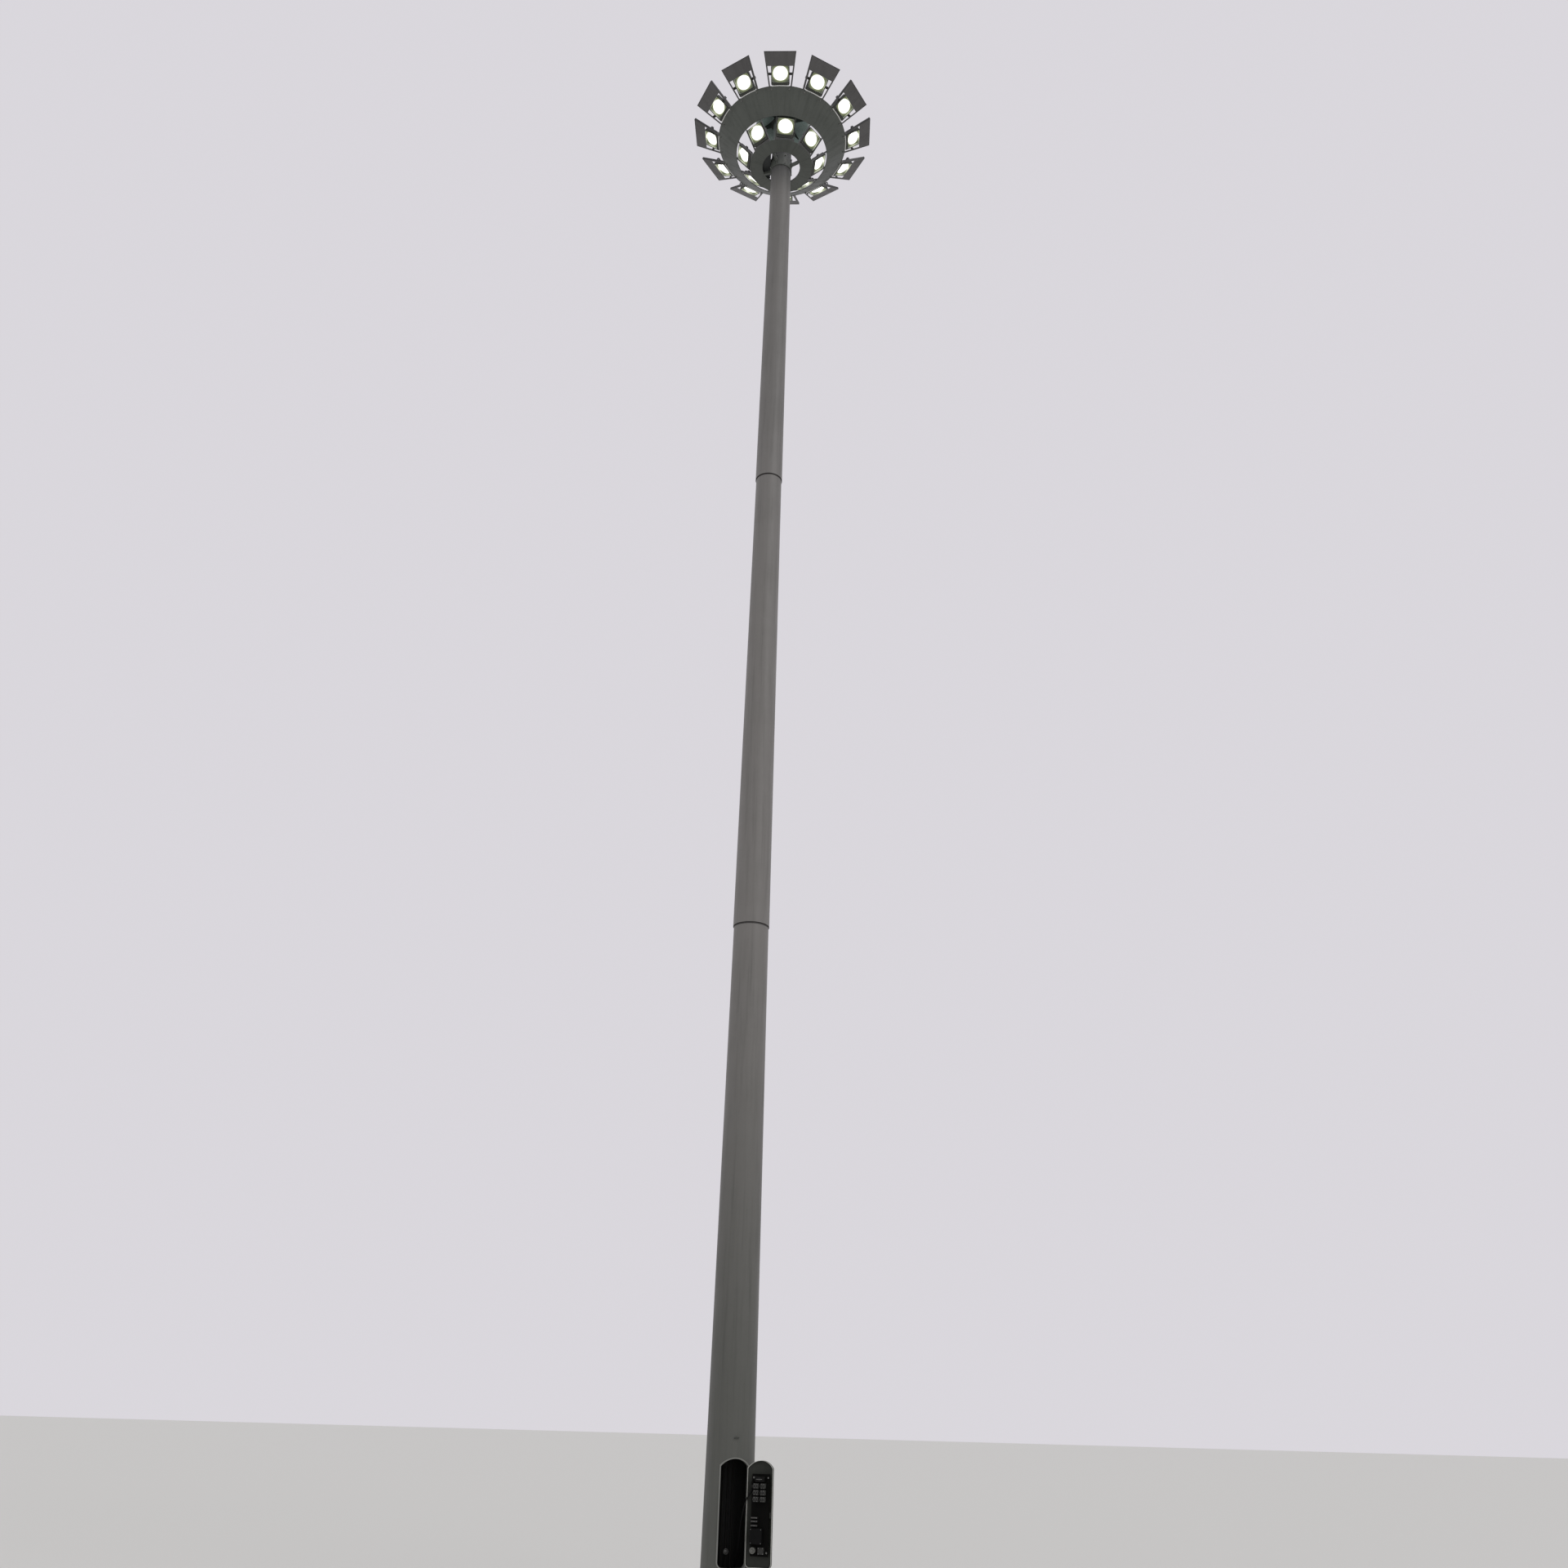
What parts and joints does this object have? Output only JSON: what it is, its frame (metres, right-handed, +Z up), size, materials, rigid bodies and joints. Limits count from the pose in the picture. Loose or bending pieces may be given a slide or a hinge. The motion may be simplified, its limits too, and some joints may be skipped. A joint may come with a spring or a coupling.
{
  "type": "high mast floodlight tower",
  "caption": "Tall tapered steel mast with a crown of floodlights on petals around a ring, a rain hood, a bolted base flange and an open access door with switchgear.",
  "frame": {"origin": "centre of the underside of the base flange", "axes": "+Z up along the mast; the access door faces -Y; +X to the right of the door as seen from outside"},
  "size_m": [2.7138, 2.7138, 19.886],
  "materials": {
    "shaft_paint": "matt grey paint over galvanised steel, dusty",
    "flange_paint": "matt grey paint on welded steel",
    "crown_paint": "satin grey-green paint on steel sheet",
    "petal_paint": "satin dark grey paint on steel sheet",
    "lamp_casting": "powder-coated cast aluminium",
    "lamp_glass": "toughened glass, lit from behind",
    "door_paint": "matt dark grey paint",
    "hinge_steel": "zinc-plated steel",
    "board_panel": "black painted mounting board",
    "module_plastic": "dark grey moulded plastic",
    "terminal_plastic": "black moulded plastic",
    "ceramic_plastic": "grey moulded plastic",
    "cable_rubber": "black rubber sheath",
    "box_paint": "dark painted steel box",
    "cleat_steel": "galvanised flat bar"
  },
  "bodies": {
    "mast": {"base_flange": "flange_paint", "base_gussets": "flange_paint", "shaft_foot": "shaft_paint", "lower_shaft": "shaft_paint", "middle_shaft": "shaft_paint", "upper_shaft": "shaft_paint", "door_frame": "shaft_paint", "hinge_brackets": "hinge_steel", "shaft_lug": "shaft_paint", "riser_cables": "cable_rubber", "cable_cleats": "cleat_steel", "door_cable": "cable_rubber", "inner_ring": "crown_paint", "ring_hub": "crown_paint", "junction_box": "box_paint", "inner_frames": "petal_paint", "inner_lenses": "lamp_glass", "outer_band": "crown_paint", "outer_petals": "petal_paint", "outer_lenses": "lamp_glass", "top_plate": "crown_paint", "rain_hood": "petal_paint", "outer_lamp_01": "lamp_casting", "outer_lamp_02": "lamp_casting", "outer_lamp_03": "lamp_casting", "outer_lamp_04": "lamp_casting", "outer_lamp_05": "lamp_casting", "outer_lamp_06": "lamp_casting", "outer_lamp_07": "lamp_casting", "outer_lamp_08": "lamp_casting", "outer_lamp_09": "lamp_casting", "outer_lamp_10": "lamp_casting", "outer_lamp_11": "lamp_casting", "outer_lamp_12": "lamp_casting", "inner_lamp_1": "lamp_casting", "inner_lamp_2": "lamp_casting", "inner_lamp_3": "lamp_casting", "inner_lamp_4": "lamp_casting", "inner_lamp_5": "lamp_casting", "inner_lamp_6": "lamp_casting", "inner_lamp_7": "lamp_casting", "inner_lamp_8": "lamp_casting"},
    "door": {"door_leaf": "door_paint", "gear_board": "board_panel", "switch_modules": "module_plastic", "terminal_blocks": "terminal_plastic", "ballast_units": "ceramic_plastic"}
  },
  "joints": [
    {"name": "door_hinge", "type": "hinge", "parent": "mast", "child": "door", "pos_m": [0.12732, -0.21529, 0.869], "axis": [0, 0, -1], "range_deg": [-20, 150], "deforming": ["door_cable"]}
  ]
}
